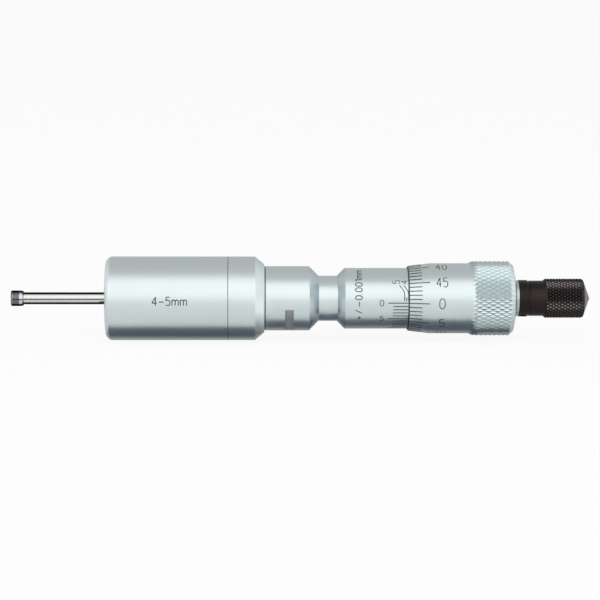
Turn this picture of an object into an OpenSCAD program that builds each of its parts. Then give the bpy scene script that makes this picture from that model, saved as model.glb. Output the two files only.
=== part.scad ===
// Two-point inside micrometer for small bores.
// The probe points along -X, the scales face -Y, and lengths are in millimetres.
// The origin lies on the axis at the middle of the grip. The pose is the lower end of the range.

/* [Probe] */
// Diameter over the closed measuring contacts
contact_d = 4; // [3.8:0.05:4.4]
// Length of the contacts along the axis
contact_l = 3.3; // [2.8:0.1:4]
// Length of the cylindrical measuring land on the contacts
contact_land = 1.9; // [1.4:0.1:2.2]
// Bevel at the back of the contacts
contact_bevel = 0.4; // [0.2:0.05:0.45]
// Relief behind the measuring land, in radius
contact_relief = 0.04; // [0.02:0.01:0.1]
// Diameter of the split rod behind the contacts
rod_d = 3.1; // [2.9:0.05:3.4]
// Length of the probe in front of the cover
probe_l = 24.2; // [22:0.2:30]
// Slit between the closed jaws
slit_w = 0.3; // [0.2:0.02:0.4]
// Step from the rod down to the tenons inside the contacts
tenon_step = 0.25; // [0.15:0.05:0.5]
// Distance of the tenons behind the probe's tip
tenon_set = 0.66; // [0.5:0.02:1]
// Growth of the measured diameter over the whole range
range_d = 1; // [0.6:0.1:1]
// Diameter of the tapered needle's shank
needle_d = 1.6; // [1.4:0.05:1.7]
// Diameter of the needle's flat tip
needle_tip_d = 0.5; // [0.3:0.05:0.7]
// From the back of the contacts to the needle's shoulder
shoulder_back = 2.5; // [2.2:0.1:4]

/* [Jaw hinge] */
// Distance of the pivots behind the cover's front face
pivot_depth = 7; // [6.6:0.1:7.4]
// Height of each pivot above or below the axis
pivot_h = 2.2; // [2:0.05:2.4]
// Diameter of the pivot pins
pivot_d = 1; // [0.8:0.05:1.1]
// Width of the jaw roots across the pivots
root_w = 2.84; // [2.4:0.05:3.1]
// Length of the jaw roots
root_l = 5; // [4.4:0.1:5.4]
// Length of the jaw roots behind the pivots
root_back = 1.7; // [1.2:0.1:2]
// Depth of the pivot pins' ends below the holder's surface
pivot_set = 0.8; // [0.4:0.1:1.6]
// Length of the holder
holder_l = 12.3; // [11.8:0.1:14]
// Wire diameter of the closing spring around the jaws
closer_wire = 0.6; // [0.4:0.05:0.7]

/* [Body] */
// Diameter of the front cover and the collar
cover_d = 21.4; // [20.4:0.1:24]
// Length of the front cover
cover_l = 31.2; // [29:0.2:36]
// Front chamfer of the cover
cover_chamfer = 1.1; // [0.5:0.1:1.5]
// Thickness of the cover's front wall
cover_wall = 2.3; // [1.8:0.1:2.6]
// Thickness of the side wall of the cover and the collar
cover_side = 2.45; // [2.3:0.05:2.8]
// Length of the collar behind the cover
collar_l = 9.3; // [8:0.1:12]
// Length of the collar's rear taper along the axis
collar_taper_l = 2.4; // [1.5:0.1:3]
// Drop of the collar's rear taper in radius
collar_taper_h = 2; // [1.5:0.1:2.2]
// Thickness of the barrel's wall around the probe holder
barrel_wall = 2.2; // [1.8:0.1:2.6]
// Length of plain barrel behind the collar
barrel_l = 11.4; // [10:0.1:15]
// Wall of the barrel's rear tube around the spindle nut
tube_wall = 1.15; // [0.9:0.05:1.4]
// Length of bare neck
neck_l = 4.85; // [3:0.05:8]
// Broken edges of the turned pieces
edge = 0.15; // [0.05:0.05:0.25]
// Width of the spanner flats along the axis
flat_w = 2.2; // [1.5:0.1:4]
// Depth of the spanner flats
flat_h = 0.85; // [0.4:0.05:1.2]
// From the collar to the middle of the spanner flats
flat_back = 6.3; // [4:0.1:7]
// Angle of the spanner flats below the scales
flat_angle = 38.5; // [0:0.5:90]

/* [Scale sleeve and thimble] */
// Diameter of the scale sleeve
sleeve_d = 15.55; // [15:0.05:17]
// Thickness of the sleeve's wall
sleeve_wall = 1.98; // [1.6:0.02:2.2]
// Length of sleeve in front of the thimble at the lower end of the range
sleeve_show = 17.8; // [14:0.1:24]
// Length of sleeve inside the thimble
sleeve_hidden = 13; // [10:0.5:13.5]
// Thickness of the thimble's front edge
thimble_lip = 0.375; // [0.3:0.025:0.6]
// Rise of the thimble's graduated cone in radius
cone_h = 0.73; // [0.4:0.01:1]
// Length of the thimble's graduated cone
cone_l = 5.7; // [4:0.1:8]
// Length of the thimble's plain cylinder
thimble_plain_l = 10; // [8:0.1:14]
// Length of the thimble's knurled band
thimble_knurl_l = 10.6; // [9.6:0.1:14]
// Rise of the thimble's knurled band in radius
thimble_knurl_rise = 0.62; // [0.5:0.02:1]
// Length of the ramp up to the thimble's knurled band
thimble_ramp_l = 1.24; // [0.8:0.02:2]
// Pitch of the thimble's knurl across its grooves
thimble_knurl_pitch = 1.06; // [0.8:0.02:1.6]
// Depth of the thimble's knurl
thimble_knurl_h = 0.35; // [0.2:0.01:0.4]
// Length of the thimble's rear chamfer
thimble_chamfer_l = 0.8; // [0.5:0.1:1.2]
// Drop of the thimble's rear chamfer in radius
thimble_chamfer_h = 1; // [0.5:0.1:1.4]
// Height of the thimble's rear cone
thimble_end_h = 0.9; // [0.4:0.1:1.2]
// Wall of the boss behind the thimble
boss_wall = 0.68; // [0.5:0.02:1]
// Length of the boss
boss_l = 0.6; // [0.3:0.05:1]

/* [Feed screw] */
// Step from the bore of the needle carrier up to the spindle's thread
thread_step = 0.6; // [0.4:0.05:0.8]
// Length of the needle's guide bush
guide_l = 4; // [3:0.1:5]
// Length of the return spring
return_spring_l = 7.4; // [6.6:0.1:8.4]
// Wire diameter of the return spring
return_wire = 0.6; // [0.4:0.05:0.7]
// Turns of the return spring
return_turns = 6; // [4:1:7]
// Length of the needle carrier
carrier_l = 18; // [17:0.2:19]
// Length of the needle inside its carrier
needle_grip_l = 8.1; // [6:0.1:9]
// From the carrier's front to the needle's set screw
set_screw_back = 3.6; // [2:0.1:5]
// From the carrier's front to its guide pin
guide_pin_back = 11.7; // [10.5:0.1:12.5]
// Depth of the guide pin in the carrier
guide_slot_h = 0.75; // [0.5:0.05:1]
// Diameter of the thrust ball
ball_d = 3; // [2.4:0.1:3.4]
// Length of the thrust ball that stands out of the carrier
ball_out = 1.8; // [1.5:0.1:2]
// Wall of the spindle nut around the thread
nut_wall = 0.95; // [0.8:0.05:1.2]
// Length of the spindle nut
nut_l = 20; // [14:0.5:24]
// Length of the barrel's wide bore in front of the spindle nut
nut_relief_l = 4; // [3:0.5:6]
// Length of the thread that stands out of the nut at the upper end of the range
thread_lead = 1; // [0.5:0.1:2]
// Drop from the sleeve to the adjusting nut in radius
adjuster_step = 0.675; // [0.5:0.025:1]
// Length of the adjusting nut
adjuster_l = 3; // [2:0.1:3.4]
// Diameter of the carrier's guide pin
guide_pin_d = 1.2; // [0.8:0.1:1.6]
// Diameter of the needle's set screw
set_screw_d = 1.6; // [1.2:0.1:2]
// Air between the barrel's tube and the thimble's web at the upper end of the range
web_gap = 0.4; // [0.2:0.1:0.8]
// Step from the thread up to the spindle's tapered seat
seat_step = 0.6; // [0.4:0.1:0.8]
// Drop of the spindle's tapered seat in radius
seat_taper = 0.3; // [0.2:0.05:0.4]
// Distance of the spindle's rear end inside the boss
seat_set = 1; // [0.6:0.1:1.2]
// Diameter of the screw stem that draws the thimble onto the seat
stem_d = 3.2; // [2.6:0.1:3.6]
// Distance of the stem's front end behind the thimble's web
stem_set = 1; // [0.6:0.1:1.4]

/* [Ratchet] */
// Step from the boss up to the ratchet base in radius
base_step = 0.1; // [0.05:0.05:0.4]
// Length of the ratchet base
base_l = 2.35; // [2:0.05:3.5]
// Depth of the groove between base and knob
hub_step = 0.2; // [0.15:0.05:0.5]
// Length of the groove between base and knob
hub_l = 0.45; // [0.3:0.05:1]
// Diameter of the spanner holes in the base
pin_hole_d = 1.4; // [0.8:0.1:1.6]
// Angle of the spanner holes below the scales
pin_hole_angle = 63; // [0:1:90]
// Step from the ratchet base down to the knob's smooth shank in radius
shank_step = 0.13; // [0:0.01:0.3]
// Wall of the knob's smooth shank
shank_wall = 1.14; // [1:0.02:1.3]
// Length of the knob's smooth shank
shank_l = 3.5; // [2.5:0.1:5]
// Rise of the knob's knurled band in radius
knob_knurl_rise = 0.53; // [0.4:0.01:1]
// Length of the knob's knurled band
knob_knurl_l = 10.3; // [9.4:0.1:14]
// Pitch of the knob's knurl across its grooves
knob_knurl_pitch = 0.77; // [0.6:0.01:1.2]
// Depth of the knob's knurl
knob_knurl_h = 0.25; // [0.15:0.01:0.35]
// Angle of the knurls' grooves to the axis
knurl_angle = 29; // [24:1:36]
// Depth of the knurls' crests below their bands
knurl_land = 0.03; // [0.02:0.01:0.06]
// Height of the knob's conical tip
tip_h = 1.8; // [0.6:0.1:2.4]
// Wall between the knob's bore and its tip
knob_end_wall = 1.2; // [0.8:0.1:1.6]
// Length of the axle inside the knob
axle_l = 4.9; // [4.4:0.1:5.2]
// Number of ratchet teeth
ratchet_teeth = 12; // [8:1:16]
// Height of the ratchet teeth
tooth_h = 0.35; // [0.2:0.05:0.5]
// Thickness of the ratchet disc behind its teeth
disc_t = 1.1; // [0.8:0.1:1.4]
// Wire diameter of the ratchet spring
ratchet_wire = 0.6; // [0.4:0.05:0.7]
// Flank angle of the ratchet teeth
tooth_angle = 30; // [25:1:40]
// Turns of the ratchet spring
ratchet_turns = 5; // [4:1:5]
// Gap between the ratchet spring and the knob's bore
ratchet_spring_gap = 0.65; // [0.3:0.05:1]
// Width of the snap ring's groove
snap_w = 0.5; // [0.4:0.05:0.8]
// Depth of the snap ring's grooves
snap_h = 0.3; // [0.2:0.05:0.4]
// Gap between the snap ring's ends
snap_gap = 1.2; // [0.8:0.1:2]

/* [Fits] */
// Radial clearance between pieces that are fixed together
seat_fit = 0.02; // [0.01:0.005:0.04]
// Radial clearance of turning and sliding pieces
run_fit = 0.05; // [0.03:0.01:0.08]
// Radial clearance between the thimble and the scale sleeve
thimble_fit = 0.1; // [0.05:0.01:0.15]
// Radial clearance around the jaws, which swing
swing_fit = 0.2; // [0.15:0.01:0.3]

/* [Hidden] */
$fn = 96;
// Overshoot of a cutting solid past the face that it opens
past = 1;

// Diameters that follow the cover, from the outside in
barrel_d = cover_d - 2 * (cover_side + seat_fit);
holder_d = barrel_d - 2 * (barrel_wall + seat_fit);

// Diameters that follow the scale sleeve, inwards to the needle carrier and outwards to the thimble
neck_d = sleeve_d - 2 * (sleeve_wall + seat_fit);
nut_d = neck_d - 2 * (tube_wall + seat_fit);
thread_d = nut_d - 2 * (nut_wall + run_fit);
feed_bore_d = thread_d - 2 * thread_step;
adjuster_d = sleeve_d - 2 * adjuster_step;
thimble_front_d = sleeve_d + 2 * (thimble_fit + thimble_lip);
thimble_d = thimble_front_d + 2 * cone_h;
thimble_knurl_d = thimble_d + 2 * thimble_knurl_rise;

// Diameters of the ratchet, which follow the spindle's tapered seat
seat_r = thread_d / 2 + seat_step;
seat_end_r = seat_r - seat_taper;
boss_d = 2 * (seat_end_r + seat_fit + boss_wall);
base_d = boss_d + 2 * base_step;
hub_d = base_d - 2 * hub_step;
shank_d = base_d - 2 * shank_step;
axle_d = shank_d - 2 * (shank_wall + run_fit);
knob_d = shank_d + 2 * knob_knurl_rise;

// Stations of the body along the axis
cover_x0 = -(cover_chamfer + cover_l + collar_l - collar_taper_l) / 2;
cover_x1 = cover_x0 + cover_l;
collar_x1 = cover_x1 + collar_l;
barrel_x0 = cover_x0 + cover_wall;
barrel_taper_x = collar_x1 + barrel_l;
neck_x0 = barrel_taper_x + (barrel_d - neck_d) / 2;
sleeve_x0 = neck_x0 + neck_l;
thimble_x0 = sleeve_x0 + sleeve_show;
sleeve_x1 = thimble_x0 + sleeve_hidden;

// Stations and sizes of the probe
tip_x = cover_x0 - probe_l;
contact_x1 = tip_x + contact_l;
tenon_x0 = tip_x + tenon_set;
tenon_r = rod_d / 2 - tenon_step;
pivot_x = cover_x0 + pivot_depth;
root_x1 = pivot_x + root_back;
root_x0 = root_x1 - root_l;
root_top = pivot_h + pivot_d + swing_fit;
holder_x1 = barrel_x0 + holder_l;
slot_x1 = root_x1 + 2 * swing_fit;
rod_x1 = root_x0 + edge;
pivot_l = 2 * sqrt(pow(holder_d / 2, 2) - pow(pivot_h, 2)) - 2 * pivot_set;
needle_groove_r = needle_d / 2 + run_fit;

// The jaws swing so that the land's middle opens by half of the range
land_x = tip_x + contact_land / 2;
jaw_swing = atan(range_d / 2 / (pivot_x - land_x));
shoulder_x = contact_x1 + shoulder_back;
seat_slope = tan(jaw_swing) * (pivot_x - shoulder_x) / range_d;
needle_tip_x = shoulder_x - (needle_d - needle_tip_d) / 2 / seat_slope;
seat_end_x = shoulder_x - (needle_groove_r - slit_w / 2) / seat_slope;

// Stations of the feed, from the guide bush back to the spindle's nose
guide_x1 = holder_x1 + guide_l;
carrier_x0 = guide_x1 + return_spring_l;
carrier_x1 = carrier_x0 + carrier_l;
carrier_r = feed_bore_d / 2 - run_fit;
needle_x1 = carrier_x0 + needle_grip_l;
set_screw_x = carrier_x0 + set_screw_back;
guide_pin_x = carrier_x0 + guide_pin_back;
guide_slot_z = carrier_r - guide_slot_h;
ball_x = carrier_x1 + ball_out - ball_d / 2;
spindle_x0 = carrier_x1 + ball_out + seat_fit;

// Stations of the spindle and the thimble
tube_x1 = sleeve_x1 + adjuster_l + 2 * edge;
nut_x1 = sleeve_x1;
nut_x0 = nut_x1 - nut_l;
nut_bore_x = nut_x0 - nut_relief_l;
thread_x0 = nut_x0 - range_d - thread_lead;
thimble_knurl_x = thimble_x0 + cone_l + thimble_plain_l;
thimble_x1 = thimble_knurl_x + thimble_knurl_l;
thimble_chamfer_x = thimble_x1 + thimble_chamfer_l;
thimble_end_x = thimble_chamfer_x + thimble_end_h;
boss_x1 = thimble_end_x + boss_l;
web_x = tube_x1 + range_d + web_gap;
spindle_x1 = boss_x1 - seat_set;
stem_x0 = web_x + stem_set;
thimble_bore_r = sleeve_d / 2 + thimble_fit;

// Stations of the ratchet
base_x1 = boss_x1 + base_l;
hub_x1 = base_x1 + hub_l;
knob_x0 = hub_x1 + run_fit;
knob_knurl_x = knob_x0 + shank_l;
knob_knurl_x1 = knob_knurl_x + knob_knurl_l;
knob_x1 = knob_knurl_x1 + tip_h;
axle_x1 = hub_x1 + axle_l;
disc_x0 = axle_x1 + 2 * tooth_h + run_fit;
disc_x1 = disc_x0 + disc_t;
knob_bore_r = axle_d / 2 + run_fit;
knob_bore_x1 = knob_knurl_x1 - knob_end_wall;
snap_x = hub_x1 + axle_l / 2;

// A profile of [radius, x] points turned about the axis
module turned(points) {
  rotate([0, 90, 0]) rotate_extrude() polygon(points);
}

// A round bar along the axis
module bar(r, x0, x1) {
  turned([[0, x0], [r, x0], [r, x1], [0, x1]]);
}

// A ring with square ends
module ring(r0, r1, x0, x1) {
  turned([[r0, x0], [r1, x0], [r1, x1], [r0, x1]]);
}

// A round pin that points up from the axis at x
module upright(r, x, z0, z1) {
  translate([x, 0, z0]) cylinder(r = r, h = z1 - z0);
}

// A wire coil about the axis, closed by flat ends
module coil(x0, x1, coil_r, wire_d, turns) {
  sides = 8;
  steps = 14 * turns;
  wire_r = wire_d / 2;
  pitch = (x1 - x0 - wire_d) / steps;
  function wire_point(i, k) =
    let (turn = 360 * turns * i / steps, side = 360 * k / sides, r = coil_r + wire_r * cos(side))
    [x0 + wire_r + pitch * i + wire_r * sin(side), r * cos(turn), r * sin(turn)];
  points = [for (i = [0 : steps]) for (k = [0 : sides - 1]) wire_point(i, k)];
  walls = [for (i = [0 : steps - 1]) for (k = [0 : sides - 1])
    let (a = i * sides + k, b = i * sides + (k + 1) % sides) [a, b, b + sides, a + sides]];
  start = [for (k = [sides - 1 : -1 : 0]) k];
  finish = [for (k = [0 : sides - 1]) steps * sides + k];
  polyhedron(points = points, faces = concat(walls, [start, finish]));
}

// The waste that a diamond knurl removes: a sleeve about the axis whose inside is a field of
// pyramid-shaped pits, so that subtracting it leaves rows of pyramids on a turned band
module knurl_waste(x0, x1, top_d, depth, pitch) {
  around = 2 * round(PI * top_d * cos(knurl_angle) / pitch);
  rows = 2 * round((x1 - x0) * sin(knurl_angle) / pitch);
  peak_r = top_d / 2 - knurl_land;
  groove_r = top_d / 2 - depth;
  sleeve_r = top_d / 2 + past;
  function ring_point(j, i, r) =
    let (turn = 360 * i / around) [x0 + (x1 - x0) * j / rows, r * cos(turn), r * sin(turn)];
  function inner(j, i) = j * around + i % around;
  function outer(j, i) = ((j == 0 ? 0 : 1) + rows + 1) * around + i % around;
  function is_peak(j, i) = (i + j) % 2 == 0 && j > 0 && j < rows;
  inside = [for (j = [0 : rows]) for (i = [0 : around - 1])
    ring_point(j, i, is_peak(j, i) ? peak_r : groove_r)];
  outside = [for (j = [0, rows]) for (i = [0 : around - 1]) ring_point(j, i, sleeve_r)];
  pits = [for (j = [0 : rows - 1]) for (i = [0 : around - 1])
    let (a = inner(j, i), b = inner(j, i + 1), c = inner(j + 1, i + 1), d = inner(j + 1, i))
    for (face = (i + j) % 2 == 0 ? [[a, b, d], [b, c, d]] : [[a, b, c], [a, c, d]]) face];
  walls = [for (i = [0 : around - 1]) for (face = [
    [inner(0, i), outer(0, i), outer(0, i + 1), inner(0, i + 1)],
    [inner(rows, i), inner(rows, i + 1), outer(rows, i + 1), outer(rows, i)],
    [outer(0, i), outer(rows, i), outer(rows, i + 1), outer(0, i + 1)]
  ]) face];
  polyhedron(points = concat(inside, outside), faces = concat(pits, walls));
}

// Face teeth that rise along +X from x, by cutting V grooves across a ring
module face_teeth(r0, r1, x) {
  difference() {
    ring(r0, r1, x - edge, x + tooth_h);
    for (i = [0 : ratchet_teeth - 1]) rotate([360 / ratchet_teeth * i, 0, 0])
      rotate([90, 0, 0]) linear_extrude(r1 + past) polygon([
        [x, 0],
        [x + tooth_h + past, -(tooth_h + past) * tan(tooth_angle)],
        [x + tooth_h + past, (tooth_h + past) * tan(tooth_angle)]
      ]);
  }
}

module front_cover() {
  r = cover_d / 2;
  hole_r = rod_d / 2 + swing_fit;
  bore_r = barrel_d / 2 + seat_fit;
  color("gainsboro") turned([
    [hole_r, cover_x0], [r - cover_chamfer, cover_x0], [r, cover_x0 + cover_chamfer],
    [r, cover_x1 - edge], [r - edge, cover_x1], [bore_r, cover_x1], [bore_r, barrel_x0], [hole_r, barrel_x0]
  ]);
}

module cover_collar() {
  r = cover_d / 2;
  bore_r = barrel_d / 2 + seat_fit;
  color("gainsboro") turned([
    [bore_r, cover_x1], [r - edge, cover_x1], [r, cover_x1 + edge], [r, collar_x1 - collar_taper_l],
    [r - collar_taper_h, collar_x1], [bore_r, collar_x1]
  ]);
}

module spanner_flat(angle) {
  reach = barrel_d / 2 - flat_h;
  rotate([angle, 0, 0]) translate([collar_x1 + flat_back - flat_w / 2, -reach - barrel_d, -barrel_d / 2])
    cube([flat_w, barrel_d, barrel_d]);
}

module barrel() {
  color("gainsboro") difference() {
    turned([
      [holder_d / 2 + seat_fit, barrel_x0], [barrel_d / 2, barrel_x0], [barrel_d / 2, barrel_taper_x],
      [neck_d / 2, neck_x0], [neck_d / 2, tube_x1], [nut_d / 2 + seat_fit, tube_x1],
      [nut_d / 2 + seat_fit, nut_bore_x], [feed_bore_d / 2, nut_bore_x], [feed_bore_d / 2, holder_x1],
      [holder_d / 2 + seat_fit, holder_x1]
    ]);
    spanner_flat(flat_angle);
    spanner_flat(flat_angle + 180);
    upright(guide_pin_d / 2 + seat_fit, guide_pin_x, 0, barrel_d);
  }
}

module pivot_pin(z, r, length) {
  translate([pivot_x, 0, z]) rotate([90, 0, 0]) cylinder(r = r, h = length, center = true);
}

module probe_holder() {
  slot_w = root_w + 2 * run_fit;
  slot_top = root_top + swing_fit;
  color("dimgray") difference() {
    bar(holder_d / 2, barrel_x0, holder_x1);
    translate([barrel_x0 - past, -slot_w / 2, -slot_top])
      cube([slot_x1 - barrel_x0 + past, slot_w, 2 * slot_top]);
    bar(rod_d / 2 + 2 * closer_wire, barrel_x0 - past, rod_x1 + swing_fit);
    bar(needle_groove_r, barrel_x0, holder_x1 + past);
    for (z = [-pivot_h, pivot_h]) pivot_pin(z, pivot_d / 2 + seat_fit, holder_d + past);
  }
}

module jaw_pivot_pins() {
  color("silver") for (z = [-pivot_h, pivot_h]) pivot_pin(z, pivot_d / 2, pivot_l);
}

module jaw_closing_spring() {
  color("silver") rotate([0, 90, 0]) rotate_extrude()
    translate([rod_d / 2 + swing_fit / 2 + closer_wire / 2, barrel_x0 + closer_wire]) circle(d = closer_wire);
}

module needle_guide() {
  color("goldenrod") ring(needle_d / 2 + run_fit, feed_bore_d / 2 - seat_fit, holder_x1, guide_x1);
}

module carrier_guide_pin() {
  color("silver") upright(guide_pin_d / 2, guide_pin_x, guide_slot_z, barrel_d / 2 - edge);
}

module scale_sleeve() {
  bore_r = neck_d / 2 + seat_fit;
  chamfer = sleeve_d / 2 - bore_r - edge;
  color("gainsboro") turned([
    [bore_r, sleeve_x0], [bore_r + edge, sleeve_x0], [sleeve_d / 2, sleeve_x0 + chamfer],
    [sleeve_d / 2, sleeve_x1], [bore_r, sleeve_x1]
  ]);
}

module spindle_nut() {
  color("goldenrod") ring(thread_d / 2 + run_fit, nut_d / 2, nut_x0, nut_x1);
}

module adjusting_nut() {
  x0 = sleeve_x1 + edge;
  color("silver") ring(neck_d / 2 + seat_fit, adjuster_d / 2, x0, x0 + adjuster_l);
}

module return_spring() {
  coil_r = needle_d / 4 + feed_bore_d / 4;
  color("silver") coil(guide_x1 + seat_fit, carrier_x0 - seat_fit, coil_r, return_wire, return_turns);
}

module taper_needle() {
  color("silver") turned([
    [0, needle_tip_x], [needle_tip_d / 2, needle_tip_x], [needle_d / 2, shoulder_x],
    [needle_d / 2, needle_x1], [0, needle_x1]
  ]);
}

module needle_carrier() {
  slot_w = guide_pin_d + 2 * run_fit;
  color("silver") difference() {
    bar(carrier_r, carrier_x0, carrier_x1);
    bar(needle_d / 2 + seat_fit, carrier_x0 - past, needle_x1 + seat_fit);
    bar(ball_d / 2 + seat_fit, ball_x - ball_d / 2 - seat_fit, carrier_x1 + past);
    upright(set_screw_d / 2 + seat_fit, set_screw_x, -carrier_r - past, 0);
    translate([guide_pin_x - slot_w / 2, -slot_w / 2, guide_slot_z - run_fit])
      cube([slot_w + range_d + run_fit, slot_w, carrier_r]);
  }
}

module needle_set_screw() {
  color("dimgray") upright(set_screw_d / 2, set_screw_x, -carrier_r + edge, -needle_d / 2 - seat_fit);
}

module thrust_ball() {
  color("silver") translate([ball_x, 0, 0]) sphere(d = ball_d);
}

// Everything below the closed jaw's flat face
module below_slit() {
  translate([tip_x - past, -cover_d / 2, slit_w / 2 - cover_d]) cube([probe_l + cover_l, cover_d, cover_d]);
}

// The upper jaw: a half-round rod with an inclined seat for the needle's cone
module jaw() {
  seat_w = 2 * needle_groove_r + run_fit;
  difference() {
    union() {
      bar(tenon_r, tenon_x0, contact_x1 + past);
      bar(rod_d / 2, contact_x1, rod_x1);
      translate([root_x0, -root_w / 2, 0]) cube([root_l, root_w, root_top]);
    }
    below_slit();
    bar(needle_groove_r, shoulder_x, root_x1 + past);
    bar(needle_groove_r + swing_fit, root_x0, root_x1 + past);
    rotate([90, 0, 0]) linear_extrude(seat_w, center = true)
      polygon([[seat_end_x, slit_w / 2], [shoulder_x, needle_groove_r], [shoulder_x, 0], [seat_end_x, 0]]);
    pivot_pin(pivot_h, pivot_d / 2 + run_fit, holder_d);
  }
}

// The upper half of the measuring head
module contact() {
  r = contact_d / 2;
  color("slategray") difference() {
    turned([
      [0, tip_x], [r - edge, tip_x], [r, tip_x + edge], [r, tip_x + contact_land],
      [r - contact_relief, contact_x1 - contact_bevel], [r - contact_bevel, contact_x1], [0, contact_x1]
    ]);
    below_slit();
    bar(tenon_r + seat_fit, tenon_x0 - seat_fit, contact_x1 + past);
  }
}

module upper_jaw() {
  color("silver") jaw();
}

module lower_jaw() {
  color("silver") mirror([0, 0, 1]) jaw();
}

module upper_contact() {
  contact();
}

module lower_contact() {
  mirror([0, 0, 1]) contact();
}

module spindle() {
  nose_r = feed_bore_d / 2 - 2 * run_fit;
  color("silver") turned([
    [0, spindle_x0], [nose_r - edge, spindle_x0], [nose_r, spindle_x0 + edge], [nose_r, thread_x0],
    [thread_d / 2, thread_x0 + thread_d / 2 - nose_r], [thread_d / 2, web_x], [seat_r, web_x],
    [seat_end_r, spindle_x1], [stem_d / 2 + seat_fit, spindle_x1],
    [stem_d / 2 + seat_fit, stem_x0 - edge], [0, stem_x0 - edge]
  ]);
}

module thimble() {
  r = thimble_d / 2;
  knurl_r = thimble_knurl_d / 2;
  boss_r = boss_d / 2;
  color("gainsboro") difference() {
    turned([
      [thimble_bore_r, thimble_x0], [thimble_front_d / 2 - edge, thimble_x0],
      [thimble_front_d / 2, thimble_x0 + edge], [r, thimble_x0 + cone_l], [r, thimble_knurl_x],
      [knurl_r, thimble_knurl_x + thimble_ramp_l], [knurl_r, thimble_x1],
      [knurl_r - thimble_chamfer_h, thimble_chamfer_x],
      [boss_r + edge, thimble_end_x], [boss_r, thimble_end_x], [boss_r, boss_x1],
      [seat_end_r + seat_fit, boss_x1], [seat_end_r + seat_fit, spindle_x1],
      [seat_r + seat_fit, web_x], [thimble_bore_r, web_x]
    ]);
    knurl_waste(thimble_knurl_x, thimble_chamfer_x, thimble_knurl_d, thimble_knurl_h, thimble_knurl_pitch);
  }
}

module ratchet_base() {
  r = base_d / 2;
  axle_r = axle_d / 2;
  color("#2b2723") union() {
    difference() {
      turned([
        [0, stem_x0], [stem_d / 2, stem_x0], [stem_d / 2, boss_x1], [r - edge, boss_x1], [r, boss_x1 + edge],
        [r, base_x1 - edge], [r - edge, base_x1], [hub_d / 2, base_x1], [hub_d / 2, hub_x1], [axle_r, hub_x1],
        [axle_r, snap_x], [axle_r - snap_h, snap_x], [axle_r - snap_h, snap_x + snap_w],
        [axle_r, snap_x + snap_w], [axle_r, axle_x1], [0, axle_x1]
      ]);
      for (side = [90, -90]) rotate([side + pin_hole_angle, 0, 0])
        upright(pin_hole_d / 2, (boss_x1 + base_x1) / 2, r - pin_hole_d, r + past);
    }
    face_teeth(axle_r / 2, axle_r - edge, axle_x1);
  }
}

module ratchet_knob() {
  knurl_r = knob_d / 2;
  shank_r = shank_d / 2;
  groove_r = knob_bore_r + snap_h;
  color("#2b2723") difference() {
    turned([
      [knob_bore_r, knob_x0], [shank_r - edge, knob_x0], [shank_r, knob_x0 + edge], [shank_r, knob_knurl_x],
      [knurl_r, knob_knurl_x + knob_knurl_rise], [knurl_r, knob_knurl_x1 - edge],
      [knurl_r - 2 * edge, knob_knurl_x1],
      [0, knob_x1], [0, knob_bore_x1], [knob_bore_r, knob_bore_x1],
      [knob_bore_r, snap_x + snap_w], [groove_r, snap_x + snap_w], [groove_r, snap_x], [knob_bore_r, snap_x]
    ]);
    knurl_waste(knob_knurl_x, knob_knurl_x1 + edge, knob_d, knob_knurl_h, knob_knurl_pitch);
  }
}

module ratchet_disc() {
  r = axle_d / 2;
  color("dimgray") union() {
    bar(r, disc_x0, disc_x1);
    translate([2 * disc_x0, 0, 0]) mirror([1, 0, 0]) face_teeth(r / 2, r - edge, disc_x0);
  }
}

module ratchet_spring() {
  coil_r = knob_bore_r - ratchet_spring_gap - ratchet_wire / 2;
  color("silver") coil(disc_x1 + seat_fit, knob_bore_x1 - seat_fit, coil_r, ratchet_wire, ratchet_turns);
}

module knob_snap_ring() {
  r0 = axle_d / 2 - snap_h + run_fit;
  r1 = knob_bore_r + snap_h - seat_fit;
  color("silver") difference() {
    ring(r0, r1, snap_x + run_fit, snap_x + snap_w - run_fit);
    translate([snap_x - past, -snap_gap / 2, 0]) cube([snap_w + 2 * past, snap_gap, knob_d]);
  }
}

front_cover();
cover_collar();
barrel();
probe_holder();
jaw_pivot_pins();
jaw_closing_spring();
needle_guide();
carrier_guide_pin();
scale_sleeve();
spindle_nut();
adjusting_nut();
return_spring();
taper_needle();
needle_carrier();
needle_set_screw();
thrust_ball();
upper_jaw();
upper_contact();
lower_jaw();
lower_contact();
spindle();
thimble();
ratchet_base();
ratchet_knob();
ratchet_disc();
ratchet_spring();
knob_snap_ring();
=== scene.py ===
# %% [markdown]
# # A small-bore inside micrometer
# The instrument is almost all turned metal: a satin grip, a scale sleeve, a thimble with a knurl, a
# black ratchet and a slim split probe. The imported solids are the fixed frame. We load them first, keep
# their box, and then dress the pieces that show.

# %% Load the frame
import math

import bmesh
import bpy
from mathutils import Matrix, Vector


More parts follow.
